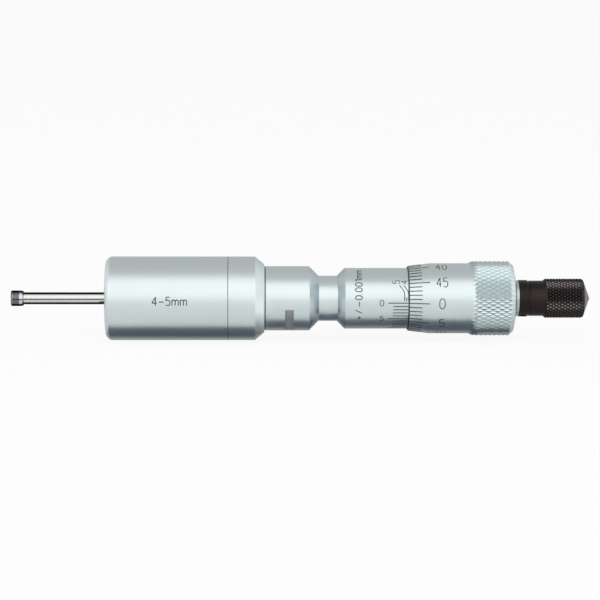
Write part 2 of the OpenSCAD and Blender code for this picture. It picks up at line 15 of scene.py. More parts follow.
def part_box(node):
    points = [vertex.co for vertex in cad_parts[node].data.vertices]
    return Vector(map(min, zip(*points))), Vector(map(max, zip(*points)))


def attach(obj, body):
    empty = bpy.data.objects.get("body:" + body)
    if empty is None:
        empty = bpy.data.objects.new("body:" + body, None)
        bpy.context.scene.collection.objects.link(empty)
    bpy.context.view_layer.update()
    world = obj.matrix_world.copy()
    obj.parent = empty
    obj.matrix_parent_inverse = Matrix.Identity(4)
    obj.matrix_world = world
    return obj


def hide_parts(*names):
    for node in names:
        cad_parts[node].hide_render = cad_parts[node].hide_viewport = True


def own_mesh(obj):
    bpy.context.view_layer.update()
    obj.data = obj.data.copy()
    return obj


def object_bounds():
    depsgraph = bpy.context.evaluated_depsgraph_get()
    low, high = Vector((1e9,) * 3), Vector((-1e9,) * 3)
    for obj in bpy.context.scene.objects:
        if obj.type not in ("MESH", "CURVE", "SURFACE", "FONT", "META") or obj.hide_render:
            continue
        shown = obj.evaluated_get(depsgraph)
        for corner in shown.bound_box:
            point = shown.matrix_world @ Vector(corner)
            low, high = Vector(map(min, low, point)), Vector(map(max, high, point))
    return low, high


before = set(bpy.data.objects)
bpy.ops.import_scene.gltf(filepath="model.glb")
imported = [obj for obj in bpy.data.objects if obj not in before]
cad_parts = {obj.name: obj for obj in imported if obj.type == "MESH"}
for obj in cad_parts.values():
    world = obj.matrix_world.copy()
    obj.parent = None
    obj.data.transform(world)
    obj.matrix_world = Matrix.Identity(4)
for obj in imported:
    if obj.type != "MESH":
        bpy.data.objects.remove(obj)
cad_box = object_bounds()
MM = 0.001
print("nodes:", len(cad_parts), "box in mm:", [round(c / MM, 1) for corner in cad_box for c in corner])

# %% [markdown]
# Every turned piece is described by stations along the axis and radii. Most of them can be read off the
# boxes of the solids, so the dressed pieces land where the solids are. We work in millimetres and
# scale each mesh to metres at the end, because the operators are happier with numbers near one.


# %% Read the stations from the solids
def stations(node):
    """Front end, rear end and largest radius of a turned solid, in millimetres."""
    low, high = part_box(node)
    return low.x / MM, high.x / MM, high.z / MM


COVER_X0, COVER_X1, COVER_R = stations("front_cover")
COLLAR_X0, COLLAR_X1, COLLAR_R = stations("cover_collar")
BARREL_X0, TUBE_X1, BARREL_R = stations("barrel")
SLEEVE_X0, SLEEVE_X1, SLEEVE_R = stations("scale_sleeve")
THIMBLE_X0, BOSS_X1, KNURL_R = stations("thimble")
KNOB_X0, KNOB_X1, KNOB_R = stations("ratchet_knob")
HOLDER_X1, HOLDER_R = stations("probe_holder")[1:]
NUT_X0, NUT_R = stations("spindle_nut")[::2]
SEAT_FIT = 0.02  # the room between a piece and its seat
FEED_BORE_R = stations("needle_guide")[2] + SEAT_FIT
EDGE = 0.15  # the smallest chamfer
print("cover from", round(COVER_X0, 2), "to", round(COVER_X1, 2), "radius", round(COVER_R, 2))

# %% [markdown]
# ## Finishes
# Metal shows what is around it, so its colour is nearly plain and the life is in the roughness. Each
# finish is a small node tree on Object coordinates, so the pattern stays put on the metal. A picture of
# the surface would need every piece laid out flat, and nodes don't. A few helpers keep the trees short.


# %% Helpers for node trees
def new_finish(name):
    """A new material with its tree, its shader and its object coordinates."""
    finish = bpy.data.materials.new(name)
    finish.use_nodes = True
    tree = finish.node_tree
    shader = tree.nodes["Principled BSDF"]
    place = tree.nodes.new("ShaderNodeTexCoord").outputs["Object"]
    return finish, tree, shader, place


def add(tree, kind, settings=None, **values):
    """A node with its settings, and a value or a link for each named socket."""
    made = tree.nodes.new(kind)
    for key, value in (settings or {}).items():
        setattr(made, key, value)
    for key, value in values.items():
        socket = made.inputs[key.replace("_", " ")]
        if isinstance(value, bpy.types.NodeSocket):
            tree.links.new(value, socket)
        else:
            socket.default_value = value
    return made


def blend_colours(tree, factor, first, second):
    """Mixes two colours, plain ones or sockets, by a factor socket."""
    mix = add(tree, "ShaderNodeMix", {"data_type": "RGBA"})
    tree.links.new(factor, mix.inputs[0])
    sockets = [socket for socket in mix.inputs if socket.type == "RGBA"]
    for colour, socket in zip((first, second), sockets):
        if isinstance(colour, tuple):
            socket.default_value = (*colour, 1)
        else:
            tree.links.new(colour, socket)
    return next(socket for socket in mix.outputs if socket.type == "RGBA")


def scaled(tree, value, low, high, start=0.0, end=1.0):
    """Maps a value from start..end onto low..high."""
    ranged = add(tree, "ShaderNodeMapRange", Value=value, From_Min=start, From_Max=end,
                 To_Min=low, To_Max=high)
    return ranged.outputs["Result"]


def noise(tree, place, scale, detail):
    """Soft spots, finer with a larger scale."""
    return add(tree, "ShaderNodeTexNoise", Vector=place, Scale=scale, Detail=detail).outputs["Fac"]


def turning_rings(tree, place, rings_per_mm):
    """Fine rings about the X axis, as a lathe tool leaves them."""
    forward = add(tree, "ShaderNodeSeparateXYZ", Vector=place).outputs["X"]
    spaced = add(tree, "ShaderNodeMath", {"operation": "MULTIPLY"}, Value=forward)
    spaced.inputs[1].default_value = rings_per_mm / MM
    rings = add(tree, "ShaderNodeTexNoise", {"noise_dimensions": "1D"}, W=spaced.outputs[0],
                Scale=1.0, Detail=3.0)
    return rings.outputs["Fac"]


def radius_of(tree, place):
    """Distance of a point from the X axis, in millimetres."""
    across = add(tree, "ShaderNodeVectorMath", {"operation": "MULTIPLY"})
    tree.links.new(place, across.inputs[0])
    across.inputs[1].default_value = (0, 1 / MM, 1 / MM)
    length = add(tree, "ShaderNodeVectorMath", {"operation": "LENGTH"})
    tree.links.new(across.outputs["Vector"], length.inputs[0])
    return length.outputs["Value"]


def set_shader(tree, shader, colour, roughness, relief, metallic=1.0):
    """Gives a shader its colour, roughness, share of metal and (height, strength, depth) of its relief."""
    height, strength, depth = relief
    bump = add(tree, "ShaderNodeBump", Strength=strength, Distance=depth * MM, Height=height)
    tree.links.new(colour, shader.inputs["Base Color"])
    tree.links.new(roughness, shader.inputs["Roughness"])
    tree.links.new(bump.outputs["Normal"], shader.inputs["Normal"])
    shader.inputs["Metallic"].default_value = metallic
    return bump


print("node helpers ready")

# %% [markdown]
# Satin chrome is turned first and then blasted: faint rings round the axis under a fine grain. The small
# cones keep their coarser turning, and their darker tone is painted shade. The spanner flats stay dull
# from the milling cutter. One function makes all of these from a light and a dark tone, a range of
# roughness, and the depths of the rings and the grain.


# %% Turned metal
def turned_metal(name, light, shade, roughness, rings_per_mm, ring_depth, grain_depth, metallic=1.0):
    """A metal with cloudy tone, turning rings and a fine grain."""
    finish, tree, shader, place = new_finish(name)
    clouds = noise(tree, place, scale=90.0, detail=4.0)
    rings = turning_rings(tree, place, rings_per_mm)
    grain = noise(tree, place, scale=9000.0, detail=2.0)
    tone = blend_colours(tree, clouds, shade, light)
    dullness = scaled(tree, rings, *roughness, start=0.3, end=0.7)
    grain_bump = set_shader(tree, shader, tone, dullness, (grain, 0.5, grain_depth), metallic)
    ring_bump = add(tree, "ShaderNodeBump", Strength=0.4, Distance=ring_depth * MM, Height=rings)
    tree.links.new(ring_bump.outputs["Normal"], grain_bump.inputs["Normal"])
    return finish


satin_chrome = turned_metal(
    "satin_chrome", light=(0.77, 0.845, 0.84), shade=(0.71, 0.785, 0.785), roughness=(0.34, 0.42),
    rings_per_mm=7.0, ring_depth=0.0015, grain_depth=0.001)
# Its darker tone is painted shade on the small cones, over a coarser turning.
turned_chrome_painted_shade = turned_metal(
    "turned_chrome_painted_shade", light=(0.58, 0.67, 0.685), shade=(0.46, 0.53, 0.54), roughness=(0.26, 0.40),
    rings_per_mm=1.6, ring_depth=0.012, grain_depth=0.001)
polished_steel = turned_metal(
    "polished_steel", light=(0.90, 0.895, 0.875), shade=(0.83, 0.825, 0.81), roughness=(0.07, 0.13),
    rings_per_mm=14.0, ring_depth=0.001, grain_depth=0.0003)
black_oxide = turned_metal(
    "black_oxide", light=(0.040, 0.031, 0.028), shade=(0.021, 0.017, 0.016), roughness=(0.28, 0.42),
    rings_per_mm=5.0, ring_depth=0.006, grain_depth=0.002, metallic=0.9)
worn_tip = turned_metal(
    "worn_tip", light=(0.15, 0.146, 0.146), shade=(0.09, 0.087, 0.087), roughness=(0.30, 0.42),
    rings_per_mm=6.0, ring_depth=0.006, grain_depth=0.002)
dark_bevel = turned_metal(
    "dark_bevel", light=(0.075, 0.08, 0.09), shade=(0.045, 0.05, 0.06), roughness=(0.35, 0.5),
    rings_per_mm=9.0, ring_depth=0.003, grain_depth=0.001)
hardened_steel = turned_metal(
    "hardened_steel", light=(0.46, 0.47, 0.49), shade=(0.36, 0.37, 0.39), roughness=(0.22, 0.34),
    rings_per_mm=8.0, ring_depth=0.003, grain_depth=0.001)
spring_steel = turned_metal(
    "spring_steel", light=(0.55, 0.56, 0.58), shade=(0.44, 0.45, 0.47), roughness=(0.16, 0.26),
    rings_per_mm=12.0, ring_depth=0.002, grain_depth=0.001)
milled_chrome = turned_metal(
    "milled_chrome", light=(0.43, 0.43, 0.47), shade=(0.355, 0.355, 0.395), roughness=(0.60, 0.70),
    rings_per_mm=4.0, ring_depth=0.008, grain_depth=0.002, metallic=0.5)
bronze = turned_metal(
    "bronze", light=(0.72, 0.50, 0.25), shade=(0.60, 0.39, 0.18), roughness=(0.26, 0.38),
    rings_per_mm=8.0, ring_depth=0.003, grain_depth=0.001)
print("materials so far:", len(bpy.data.materials))

# %% [markdown]
# The measuring contacts are tipped with dark carbide. Grinding leaves streaks round them, and behind
# the tip the bare steel of the head stays bright. The place along the axis decides which is which.

# %% Ground contacts
BARE_L = 1.25  # the bright steel behind the tip
BARE_FADE = 0.25
TIP_X1 = stations("upper_contact")[1] - BARE_L
dark_carbide, tree, shader, place = new_finish("dark_carbide")
streaks = turning_rings(tree, place, rings_per_mm=2.2)
streaky = scaled(tree, streaks, 0, 1, start=0.35, end=0.65)
ground = blend_colours(tree, streaky, (0.06, 0.06, 0.075), (0.30, 0.30, 0.33))
forward = add(tree, "ShaderNodeSeparateXYZ", Vector=place).outputs["X"]
bare = scaled(tree, forward, 0, 1, start=TIP_X1 * MM, end=(TIP_X1 + BARE_FADE) * MM)
set_shader(tree, shader, blend_colours(tree, bare, ground, (0.72, 0.72, 0.73)),
           scaled(tree, streaks, 0.2, 0.34, start=0.3, end=0.7), (streaks, 0.4, 0.004))
print("carbide from the tip to", round(TIP_X1, 2), "mm")

# %% [markdown]
# The rod of the probe is slit in two by a wire that burns its way through the steel. That leaves the walls
# and edges of the slit dull, and their dark colour is painted shade of the narrow gap, while the rest of
# the rod stays polished.

# %% Split rod
SLIT_EDGE = 0.16
SLIT_FADE = 0.03
split_steel, tree, shader, place = new_finish("split_steel")
upward = add(tree, "ShaderNodeSeparateXYZ", Vector=place).outputs["Z"]
off_middle = add(tree, "ShaderNodeMath", {"operation": "ABSOLUTE"}, Value=upward).outputs[0]
# The dark band at the slit is painted shade of the gap.
beyond_slit_shade = scaled(tree, off_middle, 0, 1, start=(SLIT_EDGE - SLIT_FADE) * MM,
               end=(SLIT_EDGE + SLIT_FADE) * MM)
smears = noise(tree, place, scale=160.0, detail=4.0)
bright = blend_colours(tree, smears, (0.70, 0.695, 0.68), (0.80, 0.795, 0.775))
lines = turning_rings(tree, place, rings_per_mm=14.0)
set_shader(tree, shader, blend_colours(tree, beyond_slit_shade, (0.05, 0.05, 0.055), bright),
           scaled(tree, beyond_slit_shade, 0.5, 0.09), (lines, 0.3, 0.001))
print("finish:", split_steel.name)

# %% [markdown]
# A knurl is rubbed bright on its crests and is darker in its grooves. On the knob that is wear, and on the
# thimble the darker grooves are dirt and painted shade. The distance from the axis tells the shader which
# is which, so the wear and the painted shade follow the true height of the metal.

# %% Knurled metal
# The specks break up the painted groove shade as well as the wear.
SPECKLE = 0.3  # how far specks break up the wear, in shares of the knurl's height


def knurled_metal(name, crest, groove, roughness, top_r, depth, wear_and_shade_from, metallic=1.0):
    """A metal that is bright on a knurl's crests, from a share of their height up, and dull below."""
    finish, tree, shader, place = new_finish(name)
    height = scaled(tree, radius_of(tree, place), 0.0, 1.0, start=top_r - depth, end=top_r)
    specks = noise(tree, place, scale=2200.0, detail=3.0)
    wear_and_shade_height = add(tree, "ShaderNodeMath", {"operation": "MULTIPLY_ADD"}, Value=specks)
    wear_and_shade_height.inputs[1].default_value = SPECKLE
    tree.links.new(height, wear_and_shade_height.inputs[2])
    wear_and_shade_mask = scaled(tree, wear_and_shade_height.outputs[0], 0.0, 1.0, start=wear_and_shade_from, end=1.1)
    grain = noise(tree, place, scale=7000.0, detail=2.0)
    set_shader(tree, shader, blend_colours(tree, wear_and_shade_mask, groove, crest),
               scaled(tree, wear_and_shade_mask, roughness[1], roughness[0]), (grain, 0.4, 0.002), metallic)
    return finish


THIMBLE_KNURL_DEPTH = 0.35
KNOB_KNURL_DEPTH = 0.30
# On the thimble the darker grooves are dirt and painted shade, on the knob they are wear.
thimble_knurl_chrome = knurled_metal(
    "thimble_knurl_chrome", crest=(0.77, 0.875, 0.88), groove=(0.53, 0.62, 0.63), roughness=(0.24, 0.34),
    top_r=KNURL_R, depth=THIMBLE_KNURL_DEPTH, wear_and_shade_from=0.15)
knob_knurl_oxide = knurled_metal(
    "knob_knurl_oxide", crest=(0.085, 0.081, 0.078), groove=(0.022, 0.019, 0.018), roughness=(0.16, 0.22),
    top_r=KNOB_R, depth=KNOB_KNURL_DEPTH, wear_and_shade_from=0.4, metallic=0.95)
print("knurled finishes:", thimble_knurl_chrome.name, knob_knurl_oxide.name)

# %% [markdown]
# The scales are etched and filled with matt black paint. It isn't metal, so it stays dark from every
# side, with a little mottling where the filler is thin.

# %% Scale paint
scale_paint, tree, shader, place = new_finish("scale_paint")
mottle = noise(tree, place, scale=1800.0, detail=3.0)
mottled = blend_colours(tree, mottle, (0.012, 0.013, 0.015), (0.035, 0.037, 0.042))
tree.links.new(mottled, shader.inputs["Base Color"])
tree.links.new(scaled(tree, mottle, 0.45, 0.65), shader.inputs["Roughness"])
print("paint:", scale_paint.name)

# %% [markdown]
# ## Turning a piece
# On a lathe the whole form comes from one profile. Blender's spin does the same: a few vertices give
# the profile, spin carries them round the axis, and bevel breaks the sharp rings. The broken edges
# matter, because each one catches a thin line of light.


# %% Helpers for turned pieces
def turn(profile, steps, closed=True):
    """Spins a profile of (x, radius) points about the axis."""
    bm = bmesh.new()
    corners = [bm.verts.new((x, 0, r)) for x, r in profile]
    pairs = list(zip(corners, corners[1:]))
    if closed:
        pairs.append((corners[-1], corners[0]))
    sides = [bm.edges.new(pair) for pair in pairs if pair[0].co.z + pair[1].co.z > 0]
    bmesh.ops.spin(bm, geom=corners + sides, cent=(0, 0, 0), axis=(1, 0, 0), angle=math.tau,
                   steps=steps, use_merge=True)
    bmesh.ops.remove_doubles(bm, verts=bm.verts, dist=1e-4)
    bmesh.ops.recalc_face_normals(bm, faces=bm.faces)
    return bm


BROKEN_FROM = math.radians(18)
SHARP_FROM = math.radians(35)


def break_edges(bm, width, where=lambda x, r: True):
    """Rounds each ring where two turned faces meet at an angle, if its place suits."""
    rings = [edge for edge in bm.edges if len(edge.link_faces) == 2
             and abs(edge.verts[0].co.x - edge.verts[1].co.x) < 1e-4
             and edge.calc_face_angle() > BROKEN_FROM
             and where(edge.verts[0].co.x, edge.verts[0].co.yz.length)]
    bmesh.ops.bevel(bm, geom=rings, offset=width, offset_type="OFFSET", segments=3, profile=0.5,
                    affect="EDGES", clamp_overlap=True, material=-1)


def to_object(name, bm):
    """Turns a mesh in millimetres into an object in metres."""
    bmesh.ops.scale(bm, vec=(MM, MM, MM), verts=bm.verts)
    mesh = bpy.data.meshes.new(name)
    bm.to_mesh(mesh)
    bm.free()
    made = bpy.data.objects.new(name, mesh)
    bpy.context.scene.collection.objects.link(made)
    return made


def make_piece(name, bm, body, slot, *finishes, stands_for=()):
    """Turns a mesh into a smooth piece that rides on a body."""
    piece = to_object(name, bm)
    mesh = piece.data
    mesh.polygons.foreach_set("use_smooth", [True] * len(mesh.polygons))
    mesh.set_sharp_from_angle(angle=SHARP_FROM)
    for finish in finishes:
        mesh.materials.append(finish)
    even = piece.modifiers.new("even_normals", "WEIGHTED_NORMAL")
    even.keep_sharp = True
    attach(piece, body)
    if stands_for:
        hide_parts(*stands_for)
    print(name, "faces:", len(mesh.polygons))
    return piece


STEPS = 128
SLOPED, SQUARE_ON = 0.3, 0.9  # how far a face's normal leans along the axis on a cone and on an end
DARK, TURNED_PAINTED_SHADE, MILLED = 1, 2, 3  # a piece's finishes after its first, where it has them in this order
print("steps round the axis:", STEPS)

# %% [markdown]
# ## Grip
# The grip is a cup with a hole for the probe, and a collar that closes it from behind. Their joint is
# a hairline: the edges on both sides are broken, and the small groove between them holds dirt and stays
# dark. A painted line would look alike from the front, but a real groove also nicks the outline. The
# front rim of the cup is rounded so that it sits well in the hand.

# %% Front cover and collar
COVER_CHAMFER = 1.1
PROBE_HOLE_R = 1.75
JOINT_V = 0.075
RIM_ROUND = 0.45
HAIRLINE = 0.03
GRIP_BORE_R = BARREL_R + SEAT_FIT


def darken_joint(bm):
    """Gives the groove of the joint the dark finish."""
    for face in bm.faces:
        middle = face.calc_center_median()
        if abs(middle.x - COVER_X1) < JOINT_V and middle.yz.length > COVER_R - JOINT_V:
            face.material_index = DARK


cover = turn([
    (COVER_X0, PROBE_HOLE_R), (COVER_X0, COVER_R - COVER_CHAMFER), (COVER_X0 + COVER_CHAMFER, COVER_R),
    (COVER_X1 - JOINT_V, COVER_R), (COVER_X1, COVER_R - JOINT_V), (COVER_X1, GRIP_BORE_R),
    (BARREL_X0, GRIP_BORE_R), (BARREL_X0, PROBE_HOLE_R),
], STEPS)
darken_joint(cover)
break_edges(cover, RIM_ROUND, where=lambda x, r: x < BARREL_X0 and r > COVER_R / 2)
break_edges(cover, HAIRLINE)
make_piece("grip_cover", cover, "frame", "satin_chrome", satin_chrome, dark_bevel, stands_for=["front_cover"])

COLLAR_TAPER_L = 2.4
COLLAR_TAPER_H = 2.0
COLLAR_ROUND = 0.14
collar = turn([
    (COLLAR_X0, GRIP_BORE_R), (COLLAR_X0, COLLAR_R - JOINT_V), (COLLAR_X0 + JOINT_V, COLLAR_R),
    (COLLAR_X1 - COLLAR_TAPER_L, COLLAR_R), (COLLAR_X1, COLLAR_R - COLLAR_TAPER_H), (COLLAR_X1, GRIP_BORE_R),
], STEPS)
darken_joint(collar)
break_edges(collar, COLLAR_ROUND, where=lambda x, r: x > (COLLAR_X0 + COLLAR_X1) / 2)
break_edges(collar, HAIRLINE)
make_piece("grip_collar", collar, "frame", "satin_chrome", satin_chrome, dark_bevel,
           stands_for=["cover_collar"])

# %% [markdown]
# ## Barrel
# The barrel runs through the grip and carries the scale sleeve on its thin rear tube. A fine relief
# behind the collar has the dark finish as painted shade and draws a line there. Two spanner flats are
# milled across the barrel. A milled flat isn't a turned form, so it is cut with a box. It keeps the dull
# grey that the cutter left.


# %% Barrel with its spanner flats
def cut(piece, bm):
    """Takes the form in bm out of a finished piece."""
    cutter = to_object("cutter", bm)
    mesh = cutter.data
    step = piece.modifiers.new("cut", "BOOLEAN")
    step.object = cutter
    step.solver = "EXACT"
    even = piece.modifiers["even_normals"]
    even.show_viewport = False
    carved = bpy.data.meshes.new_from_object(piece.evaluated_get(bpy.context.evaluated_depsgraph_get()))
    piece.modifiers.remove(step)
    even.show_viewport = True
    plain, piece.data = piece.data, carved
    bpy.data.meshes.remove(plain)
    bpy.data.objects.remove(cutter)
    bpy.data.meshes.remove(mesh)
    carved.set_sharp_from_angle(angle=SHARP_FROM)
    carved.name = piece.name


BARREL_TAPER_X = COLLAR_X1 + 11.4
TUBE_R = SLEEVE_R - 2.0
NECK_X0 = BARREL_TAPER_X + BARREL_R - TUBE_R
RELIEF_W = 0.25
RELIEF_H = 0.12
RELIEF_R = BARREL_R - RELIEF_H
RELIEF_X1 = COLLAR_X1 + RELIEF_W
HOLDER_BORE_R = HOLDER_R + SEAT_FIT
POCKET_R = NUT_R + SEAT_FIT
POCKET_X0 = NUT_X0 - 4
BARREL_EDGE = 0.05
barrel = turn([
    (BARREL_X0, HOLDER_BORE_R), (BARREL_X0, BARREL_R), (COLLAR_X1, BARREL_R), (COLLAR_X1, RELIEF_R),
    (RELIEF_X1, RELIEF_R), (RELIEF_X1, BARREL_R), (BARREL_TAPER_X, BARREL_R), (NECK_X0, TUBE_R),
    (TUBE_X1, TUBE_R), (TUBE_X1, POCKET_R), (POCKET_X0, POCKET_R), (POCKET_X0, FEED_BORE_R),
    (HOLDER_X1, FEED_BORE_R), (HOLDER_X1, HOLDER_BORE_R),
], STEPS)
# The relief gets the dark finish and the cone the darker turned tone, both painted shade.
for face in barrel.faces:
    middle = face.calc_center_median()
    if 0 <= middle.x - COLLAR_X1 <= RELIEF_W and middle.yz.length > BARREL_R - 2 * RELIEF_H:
        face.material_index = DARK
    elif BARREL_TAPER_X < middle.x < NECK_X0 and face.normal.x > SLOPED:
        face.material_index = TURNED_PAINTED_SHADE
break_edges(barrel, BARREL_EDGE)
barrel_tube = make_piece("barrel_tube", barrel, "frame", "satin_chrome", satin_chrome, dark_bevel,
                         turned_chrome_painted_shade, milled_chrome, stands_for=["barrel"])

FLAT_X = COLLAR_X1 + 6.3
FLAT_W = 2.2
FLAT_DEPTH = 0.85
FLAT_BELOW = 38.5
for side in (0, 180):
    flat = bmesh.new()
    bmesh.ops.create_cube(flat, size=1)
    for face in flat.faces:
        face.material_index = MILLED
    bmesh.ops.scale(flat, vec=(FLAT_W, 2 * FLAT_DEPTH, 2 * BARREL_R), verts=flat.verts)
    bmesh.ops.translate(flat, vec=(FLAT_X, -BARREL_R, 0), verts=flat.verts)
    below = Matrix.Rotation(math.radians(FLAT_BELOW + side), 3, "X")
    bmesh.ops.rotate(flat, cent=(0, 0, 0), matrix=below, verts=flat.verts)
    cut(barrel_tube, flat)

PIN_HOLE_R = 0.62
PIN_HOLE_Z0 = 0.5
pin_low, pin_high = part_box("carrier_guide_pin")
pin_x = (pin_low.x + pin_high.x) / 2 / MM
hole = bmesh.new()
bmesh.ops.create_cone(hole, cap_ends=True, segments=32, radius1=PIN_HOLE_R, radius2=PIN_HOLE_R,
                      depth=BARREL_R)
bmesh.ops.translate(hole, vec=(pin_x, 0, BARREL_R / 2 + PIN_HOLE_Z0), verts=hole.verts)
cut(barrel_tube, hole)
milled = sum(face.material_index == MILLED for face in barrel_tube.data.polygons)
print("barrel faces after milling:", len(barrel_tube.data.polygons), "milled:", milled)

# %% [markdown]
# ## Scale sleeve
# The sleeve is a plain tube with a broad chamfer in front, and the thimble slides over its rear half. It
# could be a cylinder with a hole cut in it. Spun from five points it needs no cut, and its bore follows
# the barrel's tube. Its front face lies in shade, so it gets the dark finish.

# %% Scale sleeve
SLEEVE_BORE_R = TUBE_R + SEAT_FIT
SLEEVE_CHAMFER = SLEEVE_R - SLEEVE_BORE_R - EDGE
sleeve = turn([
    (SLEEVE_X0, SLEEVE_BORE_R), (SLEEVE_X0, SLEEVE_BORE_R + EDGE), (SLEEVE_X0 + SLEEVE_CHAMFER, SLEEVE_R),
    (SLEEVE_X1, SLEEVE_R), (SLEEVE_X1, SLEEVE_BORE_R),
], STEPS)
# The front face gets the dark finish and the chamfer the darker turned tone, both painted shade.
for face in sleeve.faces:
    if face.normal.x < -SQUARE_ON:
        face.material_index = DARK
    elif face.normal.x < -SLOPED:
        face.material_index = TURNED_PAINTED_SHADE
break_edges(sleeve, BARREL_EDGE)
make_piece("sleeve_tube", sleeve, "frame", "satin_chrome", satin_chrome, dark_bevel, turned_chrome_painted_shade,
           stands_for=["scale_sleeve"])

# %% [markdown]
# ## Diamond knurl
# Two rolls press crossing grooves into the band and leave rows of pyramids. A bump in the finish would
# leave the outline smooth, so the pyramids are real. They start as a flat grid: every second vertex is a
# crest and the others lie in the grooves. Joining the groove vertices across each face gives the
# creases, and a vertex bevel rubs the crests flat. Bent round the axis, the grid closes the gap that was
# left in the turned profile.

# %% Helpers for a knurled band
KNURL = 1  # the second finish of a knurled piece


def add_knurl(bm, x0, x1, top_r, depth, around, rows, band_r, crest):
    """Fills the open band of a turned mesh with pyramids. band_r gives the band's radius at x."""
    grid = bmesh.ops.create_grid(bm, x_segments=rows, y_segments=around, size=0.5)["verts"]
    crests, grooves = [], []
    for vert in grid:
        row, column = round((vert.co.x + 0.5) * rows), round((vert.co.y + 0.5) * around)
        raised = (row + column) % 2 == 0
        x = x0 + (x1 - x0) * row / rows
        r = min(top_r if raised else top_r - depth, band_r(x))
        if row in (0, rows):
            r = band_r(x)
        elif raised:
            crests.append(vert)
        if not raised:
            grooves.append(vert)
        vert.co = (x, r * math.sin(math.tau * column / around), r * math.cos(math.tau * column / around))
    bmesh.ops.connect_verts(bm, verts=grooves)
    pitch = (x1 - x0) / rows
    for face in {face for vert in grid for face in vert.link_faces}:
        if x0 + pitch < face.calc_center_median().x < x1 - pitch:
            face.material_index = KNURL
    bmesh.ops.remove_doubles(bm, verts=bm.verts, dist=1e-3)
    bmesh.ops.bevel(bm, geom=[vert for vert in crests if vert.is_valid], offset=crest, offset_type="OFFSET",
                    segments=1, profile=0.5, affect="VERTICES", clamp_overlap=True, material=-1)
    bmesh.ops.recalc_face_normals(bm, faces=bm.faces)
    open_edges = sum(len(edge.link_faces) != 2 for edge in bm.edges)
    print("knurl crests:", len(crests), "open edges:", open_edges)


def along(points):
    """The radius at x on a line through (x, radius) points."""
    def radius(x):
        for (xa, ra), (xb, rb) in zip(points, points[1:]):
            if x <= xb:
                return ra + (rb - ra) * (x - xa) / (xb - xa)
        return points[-1][1]
    return radius


print("knurl helpers ready")

# %% [markdown]
# ## Thimble
# From the front: a thin lip, the graduated cone, a plain cylinder, the knurled band with its chamfer,
# a shallow rear cone and the small boss that the ratchet sits on. A maker turns all of it and knurls the
# band last. We do the same: the profile is left open where the knurl goes, and the band fills it.

# %% Thimble
THIMBLE_BORE_R = SLEEVE_R + 0.1
LIP_R = SLEEVE_R + 0.475
THIMBLE_R = LIP_R + 0.73
CONE_X1 = THIMBLE_X0 + 5.7
THIMBLE_KNURL_X = CONE_X1 + 10
THIMBLE_KNURL_X1 = THIMBLE_KNURL_X + 10.6
CHAMFER_X1 = THIMBLE_KNURL_X1 + 0.8
CHAMFER_R = KNURL_R - 1
REAR_X = CHAMFER_X1 + 0.9
BOSS_R = 4.6
SEAT_R = 3.93
SEAT_L = 1
SEAT_FLARE = 0.3
WEB_X = TUBE_X1 + 1.4
THIMBLE_AROUND = 100
LIP_BEVEL = 0.3
thimble = turn([
    (CHAMFER_X1, CHAMFER_R), (REAR_X, BOSS_R + EDGE), (REAR_X, BOSS_R), (BOSS_X1, BOSS_R),
    (BOSS_X1, SEAT_R), (BOSS_X1 - SEAT_L, SEAT_R), (WEB_X, SEAT_R + SEAT_FLARE), (WEB_X, THIMBLE_BORE_R),
    (THIMBLE_X0, THIMBLE_BORE_R), (THIMBLE_X0, LIP_R - LIP_BEVEL), (THIMBLE_X0 + LIP_BEVEL, LIP_R),
    (CONE_X1, THIMBLE_R), (THIMBLE_KNURL_X, THIMBLE_R),
], THIMBLE_AROUND, closed=False)
THIMBLE_DARK, THIMBLE_TURNED_PAINTED_SHADE = 2, 3
# The lip's front face and bevel get the dark finish and the boss the darker turned tone, both painted shade.
for face in thimble.faces:
    middle = face.calc_center_median()
    if face.normal.x < -SLOPED and middle.x < CONE_X1:
        face.material_index = THIMBLE_DARK
    elif middle.x > REAR_X and middle.yz.length > SEAT_R:
        face.material_index = THIMBLE_TURNED_PAINTED_SHADE
THIMBLE_EDGE = 0.06
break_edges(thimble, THIMBLE_EDGE)
THIMBLE_RAMP_L = 1.24
thimble_band = along([(THIMBLE_KNURL_X, THIMBLE_R), (THIMBLE_KNURL_X + THIMBLE_RAMP_L, KNURL_R),
                      (THIMBLE_KNURL_X1, KNURL_R), (CHAMFER_X1, CHAMFER_R)])
add_knurl(thimble, THIMBLE_KNURL_X, CHAMFER_X1, KNURL_R, THIMBLE_KNURL_DEPTH, THIMBLE_AROUND,
          rows=10, band_r=thimble_band, crest=THIMBLE_EDGE)
make_piece("thimble_shell", thimble, "thimble_group", "satin_chrome", satin_chrome, thimble_knurl_chrome,
           dark_bevel, turned_chrome_painted_shade, stands_for=["thimble"])

# %% [markdown]
# ## Ratchet knob
# The knob has a smooth shank, a finer knurl and a blunt cone at its end, rubbed pale by fingers. Inside
# is a bore with a groove for the snap ring. It is spun and knurled as the thimble is. Its knurl is cut a
# touch deeper than the solid's, because the slope of the facets decides where they glint.

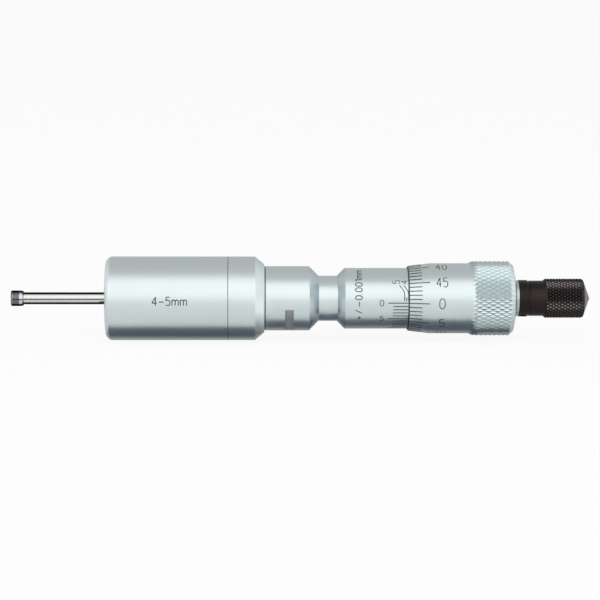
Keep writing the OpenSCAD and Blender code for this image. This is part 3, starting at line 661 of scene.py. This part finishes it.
# %% Ratchet knob
SHANK_R = KNOB_R - 0.53
KNOB_KNURL_X = KNOB_X0 + 3.5
KNOB_KNURL_X1 = KNOB_KNURL_X + 10.3
KNOB_BORE_R = SHANK_R - 1.14
KNOB_BORE_X1 = KNOB_KNURL_X1 - 1.2
RIM_R = KNOB_R - 2 * EDGE
SNAP_FIT = 0.05
SNAP_R = KNOB_BORE_R + 0.3
snap_low, snap_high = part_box("knob_snap_ring")
SNAP_X0 = snap_low.x / MM - SNAP_FIT
SNAP_X1 = snap_high.x / MM + SNAP_FIT
KNOB_AROUND = 72
knob = turn([
    (KNOB_KNURL_X1, RIM_R), (KNOB_X1, 0), (KNOB_BORE_X1, 0), (KNOB_BORE_X1, KNOB_BORE_R),
    (SNAP_X1, KNOB_BORE_R), (SNAP_X1, SNAP_R), (SNAP_X0, SNAP_R), (SNAP_X0, KNOB_BORE_R),
    (KNOB_X0, KNOB_BORE_R), (KNOB_X0, SHANK_R), (KNOB_KNURL_X, SHANK_R),
], KNOB_AROUND, closed=False)
KNOB_EDGE = 0.1
break_edges(knob, KNOB_EDGE)
WORN = 2
for face in knob.faces:
    if face.calc_center_median().x > KNOB_KNURL_X1:
        face.material_index = WORN
KNOB_RAMP_L = 0.53
knob_band = along([(KNOB_KNURL_X, SHANK_R), (KNOB_KNURL_X + KNOB_RAMP_L, KNOB_R),
                   (KNOB_KNURL_X1 - EDGE, KNOB_R), (KNOB_KNURL_X1, RIM_R)])
add_knurl(knob, KNOB_KNURL_X, KNOB_KNURL_X1, KNOB_R, KNOB_KNURL_DEPTH, KNOB_AROUND,
          rows=14, band_r=knob_band, crest=0.04)
knob_shell = make_piece("knob_shell", knob, "ratchet_group", "black_oxide", black_oxide, knob_knurl_oxide,
                        worn_tip, stands_for=["ratchet_knob"])

# %% [markdown]
# ## Return spring
# A spring inside the barrel pushes the needle back. It gets shorter as the needle goes forward, and a
# rigid solid can't do that. So the coil is wound again here: a wire circle is spun round the axis while
# it creeps along it, and the coil gets a mesh of its own.

# %% Return spring
WIRE = 0.6
TURNS = 6
STEPS_A_TURN = 32
WIND = TURNS * STEPS_A_TURN
SPRING_X0, SPRING_X1, SPRING_R = stations("return_spring")
spring = bmesh.new()
wire = bmesh.ops.create_circle(spring, segments=10, radius=WIRE / 2)["verts"]
bmesh.ops.rotate(spring, cent=(0, 0, 0), matrix=Matrix.Rotation(math.radians(90), 3, "X"), verts=wire)
bmesh.ops.translate(spring, vec=(SPRING_X0 + WIRE / 2, 0, SPRING_R - WIRE / 2), verts=wire)
creep = (SPRING_X1 - SPRING_X0 - WIRE) / WIND
bmesh.ops.spin(spring, geom=wire + spring.edges[:], cent=(0, 0, 0), axis=(1, 0, 0), dvec=(creep, 0, 0),
               angle=math.tau * TURNS, steps=WIND)
bmesh.ops.holes_fill(spring, edges=[edge for edge in spring.edges if edge.is_boundary], sides=0)
bmesh.ops.recalc_face_normals(spring, faces=spring.faces)
coil = make_piece("return_coil", spring, "frame", "spring_steel", spring_steel, stands_for=["return_spring"])
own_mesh(coil)
print("spring from", round(SPRING_X0, 2), "to", round(SPRING_X1, 2), "mm")

# %% [markdown]
# ## Pieces whose solids are right as they are
# The split probe, its contacts, the ratchet's base and all else that is hidden inside keep their
# solids. They only need their finish, which is set on the material slot of each node.

# %% Finish the solids that stay
KEPT = {
    "upper_jaw": split_steel, "lower_jaw": split_steel,
    "upper_contact": dark_carbide, "lower_contact": dark_carbide,
    "ratchet_base": black_oxide, "probe_holder": hardened_steel, "jaw_pivot_pins": hardened_steel,
    "jaw_closing_spring": spring_steel, "needle_guide": bronze, "carrier_guide_pin": hardened_steel,
    "spindle_nut": bronze, "adjusting_nut": hardened_steel,
    "taper_needle": hardened_steel, "needle_carrier": hardened_steel, "needle_set_screw": black_oxide,
    "thrust_ball": polished_steel, "spindle": hardened_steel, "ratchet_disc": hardened_steel,
    "ratchet_spring": spring_steel, "knob_snap_ring": spring_steel,
}
for node, finish in KEPT.items():
    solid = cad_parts[node].data
    solid.materials.clear()
    solid.materials.append(finish)
print("solids kept:", len(KEPT))

# %% [markdown]
# ## Scales
# The lines and figures are filled grooves, so each one is a thin solid that lies in the surface and
# stands a hundredth of a millimetre proud. They are laid out flat first, with u along the axis and v
# upwards, and then wrapped onto the metal. A flat figure can't bend, so planes slice it into narrow
# strips before it is wrapped.

# %% Helpers for marks
MARK_T = 0.03
PROUD = 0.012
SLICE_W = 0.3


def wrap(verts, below, radius):
    """Lays flat vertices (u, v, height) round the axis, with v = 0 at an angle below the near side."""
    for vert in verts:
        r = radius(vert.co.x)
        angle = math.radians(below) - vert.co.y / r
        reach = r + vert.co.z + PROUD - MARK_T / 2
        vert.co = (vert.co.x, -reach * math.cos(angle), -reach * math.sin(angle))


def slice_up(bm):
    """Cuts a flat mesh across v so that it can bend."""
    low, high = (pick(vert.co.y for vert in bm.verts) for pick in (min, max))
    for n in range(1, math.ceil((high - low) / SLICE_W)):
        geom = bm.verts[:] + bm.edges[:] + bm.faces[:]
        bmesh.ops.bisect_plane(bm, geom=geom, dist=0.002, plane_co=(0, low + n * SLICE_W, 0),
                               plane_no=(0, 1, 0))
    bmesh.ops.dissolve_degenerate(bm, dist=1e-3, edges=bm.edges)


def add_line(bm, x0, x1, below, width, radius):
    """A line along the axis."""
    verts = bmesh.ops.create_cube(bm, size=1)["verts"]
    bmesh.ops.scale(bm, vec=(x1 - x0, width, MARK_T), verts=verts)
    bmesh.ops.translate(bm, vec=((x0 + x1) / 2, 0, 0), verts=verts)
    wrap(verts, below, radius)


def add_flat(bm, flat, below, radius):
    """Wraps the flat mesh of a figure or a curved line and joins it to bm."""
    slice_up(flat)
    wrap(flat.verts, below, radius)
    flat.normal_update()
    bmesh.ops.recalc_face_normals(flat, faces=flat.faces)
    joined = bpy.data.meshes.new("joined")
    flat.to_mesh(joined)
    flat.free()
    bm.from_mesh(joined)
    bpy.data.meshes.remove(joined)


print("mark helpers ready")

# %% [markdown]
# A font would have thick and thin strokes. These figures are engraved with a round cutter, so each is
# drawn as curves of one width. The curve is made a mesh, pressed flat and wrapped like the lines.


# %% Helpers for engraved strokes
def add_stroke(bm, points, below, radius, width, curved=True, ring=False):
    """Engraves one stroke through flat (u, v) points."""
    curve = bpy.data.curves.new("stroke", "CURVE")
    curve.dimensions = "3D"
    curve.bevel_depth = width / 2
    curve.bevel_resolution = 1
    curve.resolution_u = 4 if curved else 1
    curve.use_fill_caps = True
    path = curve.splines.new("BEZIER")
    path.bezier_points.add(len(points) - 1)
    path.use_cyclic_u = ring
    for knot, (u, v) in zip(path.bezier_points, points):
        knot.co = (u, v, 0)
        knot.handle_left_type = knot.handle_right_type = "AUTO" if curved else "VECTOR"
    holder = bpy.data.objects.new("stroke", curve)
    bpy.context.scene.collection.objects.link(holder)
    shape = bpy.data.meshes.new_from_object(holder.evaluated_get(bpy.context.evaluated_depsgraph_get()))
    flat = bmesh.new()
    flat.from_mesh(shape)
    bpy.data.objects.remove(holder)
    bpy.data.curves.remove(curve)
    bpy.data.meshes.remove(shape)
    bmesh.ops.remove_doubles(flat, verts=flat.verts, dist=1e-4)
    bmesh.ops.scale(flat, vec=(1, 1, MARK_T / width), verts=flat.verts)
    add_flat(bm, flat, below, radius)


# Each figure: its width for a height of one, then its strokes in a unit square, with how they run.
FIGURES = {
    "0": (0.56, ("ring", (0.5, 1), (0.12, 0.87), (0, 0.5), (0.12, 0.13), (0.5, 0), (0.88, 0.13), (1, 0.5),
                 (0.88, 0.87))),
    "1": (0.30, ("straight", (0, 0.78), (0.9, 1), (0.9, 0))),
    "2": (0.54, ("curved", (0, 0.74), (0.2, 0.95), (0.5, 1), (0.86, 0.92), (0.96, 0.72), (0.76, 0.46),
                 (0, 0)),
          ("straight", (0, 0), (1, 0))),
    "3": (0.54, ("curved", (0.04, 0.84), (0.25, 0.98), (0.5, 1), (0.85, 0.93), (0.92, 0.76), (0.76, 0.58),
                 (0.4, 0.54)),
          ("curved", (0.4, 0.54), (0.84, 0.48), (1, 0.27), (0.84, 0.05), (0.5, 0), (0.2, 0.03), (0, 0.2))),
    "4": (0.60, ("straight", (0.72, 0), (0.72, 1), (0, 0.3), (1, 0.3))),
    "5": (0.54, ("straight", (0.92, 1), (0.12, 1), (0.04, 0.55)),
          ("curved", (0.04, 0.55), (0.3, 0.64), (0.62, 0.63), (0.92, 0.52), (1, 0.3), (0.88, 0.09),
           (0.55, 0), (0, 0.08))),
    "m": (0.80, ("straight", (0, 0), (0, 0.68)),
          ("curved", (0, 0.48), (0.22, 0.66), (0.44, 0.58), (0.5, 0.4), (0.5, 0)),
          ("curved", (0.5, 0.48), (0.72, 0.66), (0.94, 0.58), (1, 0.4), (1, 0))),
    "-": (0.62, ("straight", (0, 0.42), (1, 0.42))),
    "+": (0.50, ("straight", (0, 0.42), (1, 0.42)), ("straight", (0.5, 0.72), (0.5, 0.12))),
    "/": (0.42, ("straight", (0, 0), (1, 1))),
    ".": (0.08, ("straight", (0, 0), (1, 0))),
}


def add_text(bm, text, x, below, height, length, radius, width=0.2, upward=False, gap=0.26):
    """Engraves figures of a given height and length, read along the axis or upwards round it."""
    whole = sum(FIGURES[sign][0] for sign in text) + gap * (len(text) - 1)
    reach = -whole / 2
    for sign in text:
        wide, *strokes = FIGURES[sign]
        for run, *points in strokes:
            laid = [((reach + wide * u) * length / whole, (v - 0.5) * height) for u, v in points]
            placed = [(x - v, u) if upward else (x + u, v) for u, v in laid]
            if run == "straight":
                for side in zip(placed, placed[1:]):
                    add_stroke(bm, side, below, radius, width, curved=False)
            else:
                add_stroke(bm, placed, below, radius, width, ring=run == "ring")
        reach += wide + gap


print("figures:", len(FIGURES))

# %% [markdown]
# The grip carries the measuring range. The sleeve has a vernier, whose ten steps span nine divisions of
# the thimble and whose zero is the index line. The main scale is beside the thimble's edge, and the
# reading of one vernier step stands in front. Places along the axis are counted from the pieces' ends.

# %% Marks of the grip and the sleeve
LINE_W = 0.23
on_grip = along([(COVER_X0, COVER_R), (COVER_X1, COVER_R)])
grip_marks = bmesh.new()
add_text(grip_marks, "4-5mm", x=COVER_X0 + 16.5, below=-5, height=2.15, length=8.7, radius=on_grip,
         width=0.26)
make_piece("range_mark", grip_marks, "frame", "black_oxide", scale_paint)

on_sleeve = along([(SLEEVE_X0, SLEEVE_R), (SLEEVE_X1, SLEEVE_R)])
DIVISIONS = 50
VERNIER_STEP = 9 / 10 * 360 / DIVISIONS
VERNIER_X, VERNIER_LONG_X = THIMBLE_X0 - 3.9, THIMBLE_X0 - 5.15
VERNIER_X1 = THIMBLE_X0 + 1.5  # the lines run on under the thimble
sleeve_marks = bmesh.new()
for n in range(11):
    start = VERNIER_X if n % 5 else VERNIER_LONG_X
    add_line(sleeve_marks, start, VERNIER_X1, n * VERNIER_STEP, LINE_W, on_sleeve)
for n, figure in enumerate("05"):
    add_text(sleeve_marks, figure, x=VERNIER_LONG_X - 1.6, below=5 * n * VERNIER_STEP, height=1.5,
             length=0.9, radius=on_sleeve)
STEP_MARK = {"x": SLEEVE_X0 + 5.2, "height": 1.7, "radius": on_sleeve, "width": 0.26, "upward": True}
add_text(sleeve_marks, "+/-", below=16, length=5.0, gap=0.5, **STEP_MARK)
add_text(sleeve_marks, "0.001mm", below=-40.5, length=9.2, **STEP_MARK)
make_piece("sleeve_scale", sleeve_marks, "frame", "black_oxide", scale_paint)

# %% [markdown]
# The main scale has only three short marks round the sleeve, half a millimetre apart. Curved leaders
# join the outer two to their figures.


# %% Main scale with its leaders
def arc(below):
    """Flat height, on the sleeve, of an angle below the near side."""
    return -math.radians(below) * SLEEVE_R


TICK_FOOT = arc(-4)
LONG_TICK, SHORT_TICK = arc(-16), arc(-11)
main_marks = bmesh.new()
for x, head in ((THIMBLE_X0 - 1, LONG_TICK), (THIMBLE_X0 - 0.5, SHORT_TICK), (THIMBLE_X0, LONG_TICK)):
    tick = bmesh.new()
    bmesh.ops.create_cube(tick, size=1)
    bmesh.ops.scale(tick, vec=(LINE_W, head - TICK_FOOT, MARK_T), verts=tick.verts)
    bmesh.ops.translate(tick, vec=(x, (head + TICK_FOOT) / 2, 0), verts=tick.verts)
    add_flat(main_marks, tick, 0, on_sleeve)
for figure, x, height in (("5", THIMBLE_X0 - 3.1, 1.75), ("4", THIMBLE_X0 - 1.05, 1.6)):
    add_text(main_marks, figure, x, below=-41, height=height, length=1.0, radius=on_sleeve, width=0.17,
             upward=True)
LEADER_HEAD = arc(-34)
LEADER_BENDS = ((0.65, arc(-28)), (0.1, arc(-21)), (0, LONG_TICK))  # how far before the tick, how high
for tick_x, before in ((THIMBLE_X0 - 1, 1.25), (THIMBLE_X0, 1.2)):
    leader = [(tick_x - gap, v) for gap, v in ((before, LEADER_HEAD), *LEADER_BENDS)]
    add_stroke(main_marks, leader, 0, on_sleeve, LINE_W)
make_piece("main_scale", main_marks, "frame", "black_oxide", scale_paint)

# %% [markdown]
# The thimble has fifty divisions. Every fifth line is long and carries a figure, and the figures grow
# downwards on the near side, so that the reading grows as the thimble turns in.

# %% Marks of the thimble
on_thimble = along([(THIMBLE_X0, LIP_R), (CONE_X1, THIMBLE_R), (THIMBLE_KNURL_X, THIMBLE_R)])
LINE_X0 = THIMBLE_X0 + LIP_BEVEL
LINE_X1, LONG_LINE_X1 = CONE_X1 - 2.2, CONE_X1 - 0.3
ONE_FIGURE_L, TWO_FIGURES_L = 1.35, 2.75
thimble_marks = bmesh.new()
for n in range(DIVISIONS):
    below = n * 360 / DIVISIONS
    add_line(thimble_marks, LINE_X0, LINE_X1 if n % 5 else LONG_LINE_X1, below, LINE_W, on_thimble)
    if n % 5 == 0:
        add_text(thimble_marks, str(n), x=CONE_X1 + 2.8, below=below, height=2.6,
                 length=ONE_FIGURE_L if n < 10 else TWO_FIGURES_L, radius=on_thimble, width=LINE_W)
make_piece("thimble_scale", thimble_marks, "thimble_group", "black_oxide", scale_paint)

# %% [markdown]
# ## Studio
# The background is a white floor. It could be a curved sweep, but from this height only the floor is in
# view. The camera sees most of it as plain white, and the rest of its shading keeps the soft shadow. The
# surround is grey with paler ends, which gives the quiet top of the body and the light on its end faces.

# %% Floor and surround
FLOOR_Z = cad_box[0].z
FLOOR_HALF, FLOOR_BACK = 6000, 2000
SEEN_WHITE, MIRRORED_WHITE = 0.9, 0.05  # shares of plain white in what the camera and the metal see
floor_bm = bmesh.new()
bmesh.ops.create_grid(floor_bm, x_segments=1, y_segments=1, size=FLOOR_HALF)
bmesh.ops.translate(floor_bm, vec=(0, FLOOR_BACK, FLOOR_Z / MM), verts=floor_bm.verts)
floor = to_object("floor", floor_bm)

white_floor = bpy.data.materials.new("white_floor")
white_floor.use_nodes = True
tree = white_floor.node_tree
tree.nodes.clear()
rays = tree.nodes.new("ShaderNodeLightPath").outputs
matt = add(tree, "ShaderNodeBsdfDiffuse", Color=(0.9, 0.9, 0.9, 1))
glow = add(tree, "ShaderNodeEmission", Color=(1, 1, 1, 1), Strength=1.0)
seen = add(tree, "ShaderNodeMath", {"operation": "MULTIPLY"}, Value=rays["Is Camera Ray"])
seen.inputs[1].default_value = SEEN_WHITE
share = add(tree, "ShaderNodeMath", {"operation": "MULTIPLY_ADD"}, Value=rays["Is Glossy Ray"])
share.inputs[1].default_value = MIRRORED_WHITE
tree.links.new(seen.outputs[0], share.inputs[2])
mixed = add(tree, "ShaderNodeMixShader", Fac=share.outputs[0])
tree.links.new(matt.outputs[0], mixed.inputs[1])
tree.links.new(glow.outputs[0], mixed.inputs[2])
tree.links.new(mixed.outputs[0], tree.nodes.new("ShaderNodeOutputMaterial").inputs["Surface"])
floor.data.materials.append(white_floor)

world = bpy.data.worlds.new("surround")
bpy.context.scene.world = world
world.use_nodes = True
tree = world.node_tree
rays = tree.nodes.new("ShaderNodeLightPath").outputs
direction = tree.nodes.new("ShaderNodeTexCoord").outputs["Generated"]
towards = add(tree, "ShaderNodeSeparateXYZ", Vector=direction).outputs["X"]
sideways = add(tree, "ShaderNodeMath", {"operation": "ABSOLUTE"}, Value=towards).outputs[0]
ends = scaled(tree, sideways, 0, 1, start=0.35, end=0.95)
room = blend_colours(tree, ends, (0.53, 0.535, 0.54), (0.95, 0.97, 0.98))
surround = blend_colours(tree, rays["Is Camera Ray"], room, (1, 1, 1))
tree.links.new(surround, tree.nodes["Background"].inputs["Color"])
print("floor at", round(FLOOR_Z / MM, 2), "mm")

# %% [markdown]
# Satin metal needs a large soft light. A small lamp would leave a hard streak, so one broad panel stands
# in front of and above the instrument and gives the bright band along it.

# %% Lights
LIT = Vector((0.03, 0, 0))  # about the middle of the instrument, in metres


def softbox(name, centre, width, height, brightness):
    """A broad panel, in metres, that faces the instrument and shines with the given brightness."""
    lamp = bpy.data.lights.new(name, "AREA")
    lamp.shape = "RECTANGLE"
    lamp.size, lamp.size_y = width, height
    lamp.energy = brightness * math.pi * width * height
    panel = bpy.data.objects.new(name, lamp)
    panel.location = centre
    panel.rotation_euler = (LIT - Vector(centre)).to_track_quat("-Z", "Y").to_euler()
    panel.visible_camera = False
    bpy.context.scene.collection.objects.link(panel)


softbox("front_panel", centre=(LIT.x, -0.40, 0.30), width=1.8, height=0.62, brightness=0.66)
print("lights:", len(bpy.data.lights))

# %% [markdown]
# Bright metal on a white table looks flat without something to reflect. The strips on the floor are
# painted shadow: dim glowing sheets that stand in for the floor's shade under the instrument. A slate strip
# gives the dark band along the body, and a grey one behind it lifts the very edge. Under the thimble's knurl
# a dark strip draws the lines between the pyramids, and a paler one before it lights their foot. The cards
# are only there for reflections, so they throw no shadow.

# %% Helpers for cards
FADE_FOOT, FADE_HEAD = 0.73, 0.23  # the ends of a card's fade, in shares of the floor's depth
LIFT = 0.05  # a strip lies just above the floor


def card(name, bm, shade, foot=None, only_for=None):
    """A card that only reflections see, even or fading down to its foot. It may shine on one piece only."""
    paper = bpy.data.materials.new(name)
    paper.use_nodes = True
    tree = paper.node_tree
    tree.nodes.clear()
    even = add(tree, "ShaderNodeEmission", Color=(*shade, 1))
    if foot:
        place = tree.nodes.new("ShaderNodeTexCoord").outputs["Object"]
        upward = add(tree, "ShaderNodeSeparateXYZ", Vector=place).outputs["Z"]
        fade = scaled(tree, upward, 0, 1, start=FADE_FOOT * FLOOR_Z, end=FADE_HEAD * FLOOR_Z)
        tree.links.new(blend_colours(tree, fade, foot, shade), even.inputs["Color"])
    surface = even
    sheet = to_object(name, bm)
    if only_for:
        surface = tree.nodes.new("ShaderNodeAddShader")
        tree.links.new(even.outputs[0], surface.inputs[0])
        tree.links.new(tree.nodes.new("ShaderNodeBsdfTransparent").outputs[0], surface.inputs[1])
        lit = bpy.data.collections.new(name)
        lit.objects.link(only_for)
        sheet.light_linking.receiver_collection = lit
    tree.links.new(surface.outputs[0], tree.nodes.new("ShaderNodeOutputMaterial").inputs["Surface"])
    sheet.data.materials.append(paper)
    sheet.visible_camera = sheet.visible_diffuse = sheet.visible_shadow = False
    print("card:", name)


def strip(*edges):
    """A strip on the floor along the body. Each entry is an x with the y of its front and back edges."""
    bm = bmesh.new()
    ends = [[bm.verts.new((x, y, FLOOR_Z / MM + LIFT)) for y in sides] for x, *sides in edges]
    for (front, back), (next_front, next_back) in zip(ends, ends[1:]):
        bm.faces.new((front, next_front, next_back, back))
    return bm


def bent(first, second, start, sweep):
    """The line between two (x, radius) points, swept round the axis from an angle off the top."""
    bm = bmesh.new()
    rim = [bm.verts.new((x, 0, r)) for x, r in (first, second)]
    bm.edges.new(rim)
    bmesh.ops.rotate(bm, cent=(0, 0, 0), matrix=Matrix.Rotation(math.radians(start), 3, "X"), verts=rim)
    bmesh.ops.spin(bm, geom=rim + bm.edges[:], cent=(0, 0, 0), axis=(1, 0, 0), angle=math.radians(sweep),
                   steps=12)
    return bm


print("card helpers ready")

# %% Strips on the floor
BAND_X0, BAND_X1 = THIMBLE_KNURL_X + 1.9, BOSS_X1
# The edges of the painted shadow strip under the grip, the barrel, the neck, the sleeve and the thimble.
BELLY = ((COVER_X0 - 2.4, -10.3, -4.7), (COLLAR_X1 - 0.2, -10.3, -4.5),
         (COLLAR_X1 + 0.1, -8.7, -2.2), (BARREL_TAPER_X + 0.2, -8.7, -2.2),
         (NECK_X0 - 0.75, -6.8, 2), (SLEEVE_X0 + 0.4, -6.8, 2),
         (SLEEVE_X0 + 1.4, -8.5, -1.8), (THIMBLE_X0 - 0.4, -8.5, -1.8),
         (THIMBLE_X0 + 0.6, -10.8, -2.6), (BAND_X0, -10.8, -2.6))
BAND_FOOT_Y, BAND_FRONT_Y, BAND_BACK_Y = -20, -11, -6
STRIP_BACK = 8
behind = [(x, back, STRIP_BACK) for x, front, back in BELLY]
behind += [(x, BAND_BACK_Y, STRIP_BACK) for x in (BAND_X0 + 1, BAND_X1)]
# These strips glow as painted shadow and half shadow of the floor under the instrument, seen only in
# reflections.
card("painted_shadow_card", strip(*BELLY), (0.085, 0.095, 0.125))
card("painted_half_shadow_card", strip(*behind), (0.34, 0.345, 0.33))
card("knurl_painted_shadow_card", strip((BAND_X0, BAND_FRONT_Y, -2.6), (BAND_X0 + 1, BAND_FRONT_Y, BAND_BACK_Y),
                         (BAND_X1, BAND_FRONT_Y, BAND_BACK_Y)), (0.10, 0.105, 0.115))
card("foot_card", strip((BAND_X0, BAND_FOOT_Y, BAND_FRONT_Y), (BAND_X1, BAND_FOOT_Y, BAND_FRONT_Y)),
     (0.42, 0.43, 0.44))

# %% [markdown]
# Two black gutters round the probe give the polished rod its dark edges. Two white sheets, bent round the
# axis, stand behind the collar and over the neck and light the cones. They fade towards the floor, so the
# cones get darker below. The last card is bright, and shines on the knob alone to make its knurl glint.

# %% Bent cards and the glint
GUTTER_R = 3
GUTTER_X0, GUTTER_X1 = cad_box[0].x / MM - 2.2, COVER_X0 - 0.5
for name, start, sweep in (("upper_card", 20, -61), ("lower_card", -140, -76)):
    card(name, bent((GUTTER_X0, GUTTER_R), (GUTTER_X1, GUTTER_R), start, sweep), (0.006, 0.006, 0.006))

CONE_START, CONE_SWEEP = 80, 75
CONE_CARD_R = COVER_R + 2
for name, x, r in (("collar_card", COLLAR_X1 + 0.5, BARREL_R + 0.6),
                   ("neck_card", (NECK_X0 + SLEEVE_X0) / 2, TUBE_R + 1.2)):
    card(name, bent((x, r), (x, CONE_CARD_R), CONE_START, CONE_SWEEP), (1, 1, 1), foot=(0.28, 0.29, 0.31))

GLINT_X0 = KNOB_X1 + 7.55
GLINT_W, GLINT_H = 30, 36
GLINT_R = 40
GLINT_UP = 33
glint = bmesh.new()
bmesh.ops.create_grid(glint, x_segments=1, y_segments=1, size=0.5)
bmesh.ops.scale(glint, vec=(GLINT_W, GLINT_H, 1), verts=glint.verts)
bmesh.ops.translate(glint, vec=(GLINT_X0 + GLINT_W / 2, 0, GLINT_R), verts=glint.verts)
forwards = Matrix.Rotation(math.radians(90 - GLINT_UP), 3, "X")
bmesh.ops.rotate(glint, cent=(0, 0, 0), matrix=forwards, verts=glint.verts)
card("glint_card", glint, (4.6, 4.6, 4.6), only_for=knob_shell)

# %% [markdown]
# ## Camera
# The picture was taken from slightly above and a little left of the middle, with the axis level. The
# camera's right is set along the axis as it is seen, which keeps the axis level in the frame.

# %% Camera
FRAME_W = 153.9
AIM_X, AIM_Z = 30.04, -0.46
CAMERA_X = 16.3
DISTANCE = 600
ELEVATION = math.radians(9.3)
SENSOR_W = 36
aim = Vector((AIM_X, 0, AIM_Z)) * MM
spot = Vector((CAMERA_X, -DISTANCE * math.cos(ELEVATION), DISTANCE * math.sin(ELEVATION) + AIM_Z)) * MM
ahead = (aim - spot).normalized()
right = (Vector((1, 0, 0)) - ahead * ahead.x).normalized()
up = right.cross(ahead)
lens = bpy.data.cameras.new("camera")
lens.sensor_width = SENSOR_W
lens.lens = SENSOR_W * (aim - spot).length / (FRAME_W * MM)
lens.clip_start = 0.01
lens.clip_end = 50
camera = bpy.data.objects.new("camera", lens)
camera.matrix_world = Matrix.Translation(spot) @ Matrix((right, up, -ahead)).transposed().to_4x4()
bpy.context.scene.collection.objects.link(camera)
bpy.context.scene.camera = camera
bpy.context.scene.view_settings.view_transform = "Standard"
print("lens", round(lens.lens, 1), "mm")
